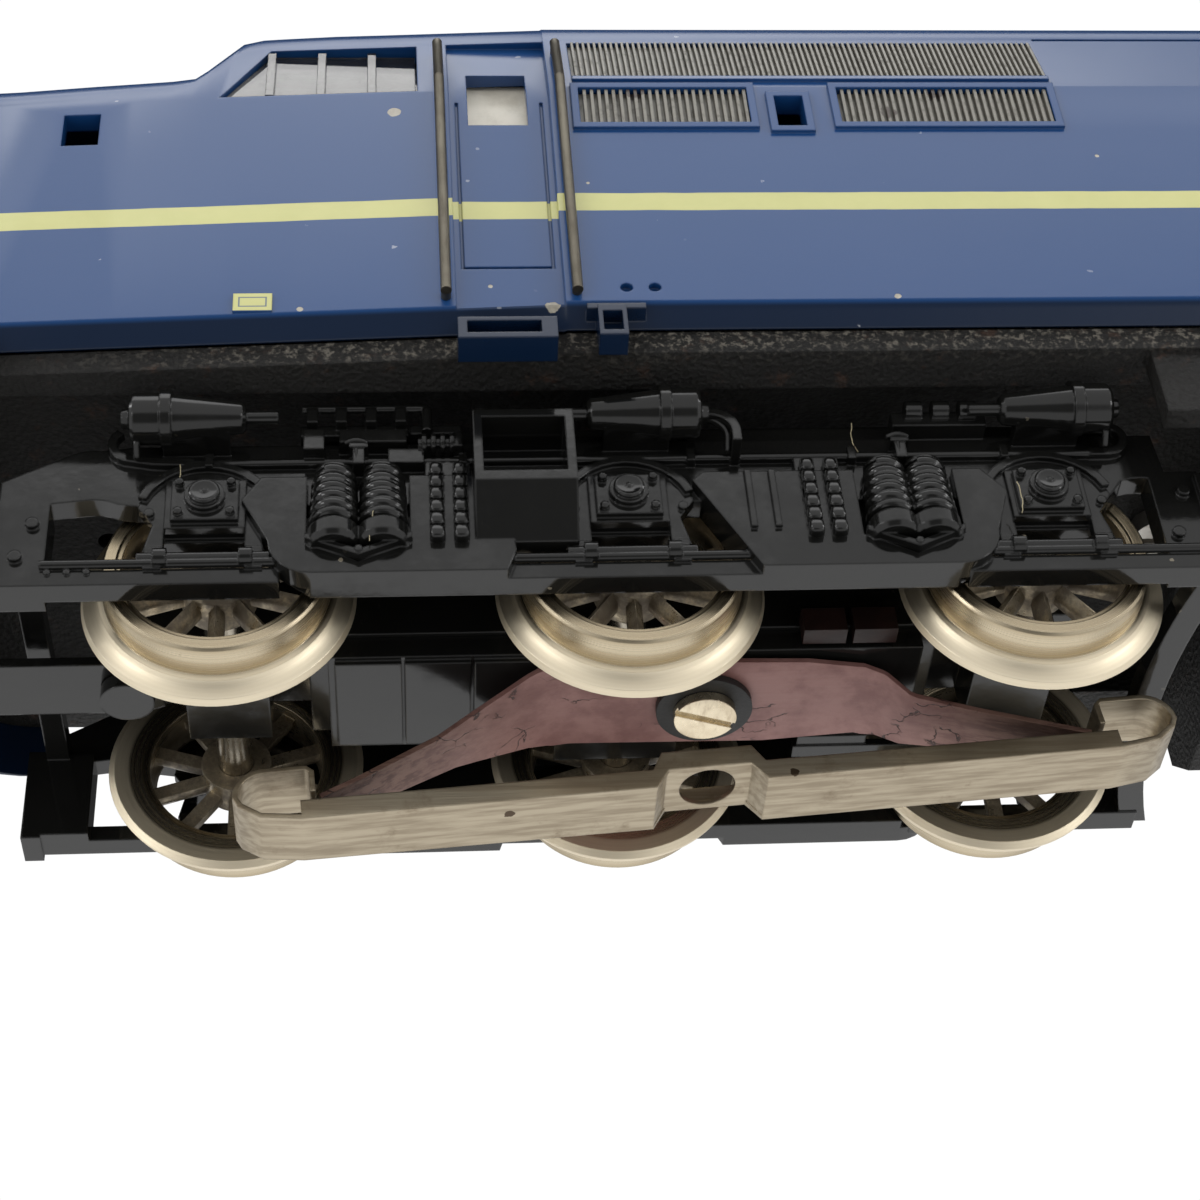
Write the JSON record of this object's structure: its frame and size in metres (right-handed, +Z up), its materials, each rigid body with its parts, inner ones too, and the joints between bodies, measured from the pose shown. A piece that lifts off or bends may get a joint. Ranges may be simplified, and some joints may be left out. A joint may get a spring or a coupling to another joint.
{
  "type": "model diesel locomotive",
  "caption": "Scale model diesel locomotive with two cabs, six-wheeled bogies, a sprung sliding pickup shoe and a geared motor bogie.",
  "frame": {"origin": "on the rail tops, on the track centre line, midway between the two bogie centres", "axes": "+X along the locomotive towards the motor bogie, +Y across the track, +Z up from the rails"},
  "size_m": [0.2214, 0.0368, 0.0552],
  "materials": {
    "blue_paint": "gloss, thin sprayed coat with small dust nibs",
    "cast_black": "rough blackened casting, rubbed brown at the edge",
    "clear_glazing": "clear, slightly smoky",
    "blind_grey": "satin",
    "grille_olive": "satin",
    "rail_wire": "darkened wire",
    "roof_black": "satin",
    "lens_clear": "clear",
    "bulb_glass": "clear",
    "plain_steel": "turned",
    "weight_lead": "dull cast weight",
    "board_green": "glass-fibre board with components",
    "relay_plastic": "satin",
    "wire_red": "insulated wire",
    "bogie_black": "glossy moulded",
    "wheel_nickel": "turned nickel, slightly yellowed",
    "shoe_nickel": "pressed nickel silver, scuffed",
    "spring_copper": "aged phosphor bronze with cracked film",
    "fibre_black": "vulcanised fibre",
    "block_brown": "resin-bonded paper",
    "magnet_grey": "sintered magnet",
    "armature_iron": "laminated core with copper windings",
    "shield_brown": "moulded phenolic",
    "brush_brass": "drawn tube",
    "brush_carbon": "carbon",
    "gear_steel": "cut gear",
    "tyre_rubber": "matt"
  },
  "bodies": {
    "locomotive": {"body_shell": "blue_paint", "chassis_frame": "cast_black", "front_cab_glazing": "clear_glazing", "rear_cab_glazing": "clear_glazing", "door_panes": "blind_grey", "upper_grilles": "grille_olive", "lower_grilles": "grille_olive", "handrails": "rail_wire", "roof_fans": "roof_black", "exhaust_stacks": "roof_black", "headlight_lenses": "lens_clear", "lamp_bulbs": "bulb_glass", "lamp_brackets": "plain_steel", "buffers": "fibre_black", "body_screws": "plain_steel", "ballast_weight": "weight_lead", "circuit_board": "board_green", "reversing_relay": "relay_plastic", "lamp_wires": "wire_red", "motor_bridge": "plain_steel"},
    "pickup_bogie": {"front_bogie_block": "bogie_black", "front_keeper_plate": "bogie_black", "front_sideframes": "bogie_black", "front_pivot_screw": "plain_steel", "insulating_blocks": "block_brown", "pickup_spring": "spring_copper", "pickup_washer": "fibre_black", "pickup_screw": "plain_steel"},
    "shoe": {"pickup_shoe": "shoe_nickel"},
    "front_wheelset_1": {"front_axles_1": "plain_steel", "front_wheels_1": "wheel_nickel"},
    "front_wheelset_2": {"front_axles_2": "plain_steel", "front_wheels_2": "wheel_nickel"},
    "front_wheelset_3": {"front_axles_3": "plain_steel", "front_wheels_3": "wheel_nickel"},
    "front_coupler": {"front_coupler_arm": "bogie_black"},
    "front_coupler_hoop": {"front_coupler_loop": "plain_steel"},
    "motor_bogie": {"motor_frame": "cast_black", "rear_sideframes": "bogie_black", "rear_pivot_screw": "plain_steel", "field_magnet": "magnet_grey", "motor_shield": "shield_brown", "carbon_brushes": "brush_carbon", "brush_tubes": "brush_brass", "gear_pins": "plain_steel"},
    "motor_armature": {"armature": "armature_iron"},
    "transfer_wheel": {"transfer_gear": "gear_steel"},
    "idler_wheel_1": {"idler_gear_1": "gear_steel"},
    "idler_wheel_2": {"idler_gear_2": "gear_steel"},
    "rear_wheelset_1": {"rear_axles_1": "plain_steel", "rear_wheels_1": "wheel_nickel", "traction_tyres_1": "tyre_rubber"},
    "rear_wheelset_2": {"rear_axles_2": "plain_steel", "rear_wheels_2": "wheel_nickel"},
    "rear_wheelset_3": {"rear_axles_3": "plain_steel", "rear_wheels_3": "wheel_nickel", "traction_tyres_3": "tyre_rubber"},
    "rear_coupler": {"rear_coupler_arm": "bogie_black"},
    "rear_coupler_hoop": {"rear_coupler_loop": "plain_steel"}
  },
  "joints": [
    {"name": "front_bogie_swivel", "type": "hinge", "parent": "locomotive", "child": "pickup_bogie", "pos_m": [-0.059, 0, 0.0178], "axis": [0, 0, 1], "range_deg": [-10, 10]},
    {"name": "rear_bogie_swivel", "type": "hinge", "parent": "locomotive", "child": "motor_bogie", "pos_m": [0.059, 0, 0.0362], "axis": [0, 0, 1], "range_deg": [-10, 10]},
    {"name": "front_wheels_1_spin", "type": "hinge", "parent": "pickup_bogie", "child": "front_wheelset_1", "pos_m": [-0.081, 0, 0.006], "axis": [0, 1, 0], "continuous": true},
    {"name": "front_wheels_2_spin", "type": "hinge", "parent": "pickup_bogie", "child": "front_wheelset_2", "pos_m": [-0.059, 0, 0.006], "axis": [0, 1, 0], "continuous": true},
    {"name": "front_wheels_3_spin", "type": "hinge", "parent": "pickup_bogie", "child": "front_wheelset_3", "pos_m": [-0.037, 0, 0.006], "axis": [0, 1, 0], "continuous": true},
    {"name": "pickup_shoe_lift", "type": "hinge", "parent": "pickup_bogie", "child": "shoe", "pos_m": [-0.0334, 0, 0.0005], "axis": [0, 1, 0], "range_deg": [0, 4.5], "stiffness_Nm_per_rad": 0.03, "springref_deg": -2.86, "deforming": ["pickup_spring"]},
    {"name": "front_coupler_swing", "type": "hinge", "parent": "pickup_bogie", "child": "front_coupler", "pos_m": [-0.0865, 0, 0.0062], "axis": [0, 0, 1], "range_deg": [-12, 12]},
    {"name": "front_coupler_hoop_lift", "type": "hinge", "parent": "front_coupler", "child": "front_coupler_hoop", "pos_m": [-0.1034, 0, 0.00695], "axis": [0, 1, 0], "range_deg": [0, 20]},
    {"name": "armature_spin", "type": "hinge", "parent": "motor_bogie", "child": "motor_armature", "pos_m": [0.059, 0, 0.022], "axis": [0, 1, 0], "continuous": true},
    {"name": "transfer_gear_spin", "type": "hinge", "parent": "motor_bogie", "child": "transfer_wheel", "pos_m": [0.06696, 0, 0.02299], "axis": [0, 1, 0], "continuous": true},
    {"name": "idler_gear_1_spin", "type": "hinge", "parent": "motor_bogie", "child": "idler_wheel_1", "pos_m": [0.07, 0, 0.01033], "axis": [0, 1, 0], "continuous": true},
    {"name": "idler_gear_2_spin", "type": "hinge", "parent": "motor_bogie", "child": "idler_wheel_2", "pos_m": [0.048, 0, 0.01033], "axis": [0, 1, 0], "continuous": true},
    {"name": "rear_wheels_1_spin", "type": "hinge", "parent": "motor_bogie", "child": "rear_wheelset_1", "pos_m": [0.081, 0, 0.006], "axis": [0, 1, 0], "continuous": true},
    {"name": "rear_wheels_2_spin", "type": "hinge", "parent": "motor_bogie", "child": "rear_wheelset_2", "pos_m": [0.059, 0, 0.006], "axis": [0, 1, 0], "continuous": true},
    {"name": "rear_wheels_3_spin", "type": "hinge", "parent": "motor_bogie", "child": "rear_wheelset_3", "pos_m": [0.037, 0, 0.006], "axis": [0, 1, 0], "continuous": true},
    {"name": "rear_coupler_swing", "type": "hinge", "parent": "motor_bogie", "child": "rear_coupler", "pos_m": [0.0865, 0, 0.0062], "axis": [0, 0, 1], "range_deg": [-12, 12]},
    {"name": "rear_coupler_hoop_lift", "type": "hinge", "parent": "rear_coupler", "child": "rear_coupler_hoop", "pos_m": [0.1034, 0, 0.00695], "axis": [0, -1, 0], "range_deg": [0, 20]}
  ],
  "couplings": [
    {"joint": "transfer_gear_spin", "follows": "armature_spin", "ratio": -0.33333},
    {"joint": "idler_gear_1_spin", "follows": "armature_spin", "ratio": 0.28571},
    {"joint": "idler_gear_2_spin", "follows": "armature_spin", "ratio": 0.28571},
    {"joint": "rear_wheels_1_spin", "follows": "armature_spin", "ratio": -0.41667},
    {"joint": "rear_wheels_2_spin", "follows": "armature_spin", "ratio": -0.41667},
    {"joint": "rear_wheels_3_spin", "follows": "armature_spin", "ratio": -0.41667}
  ]
}
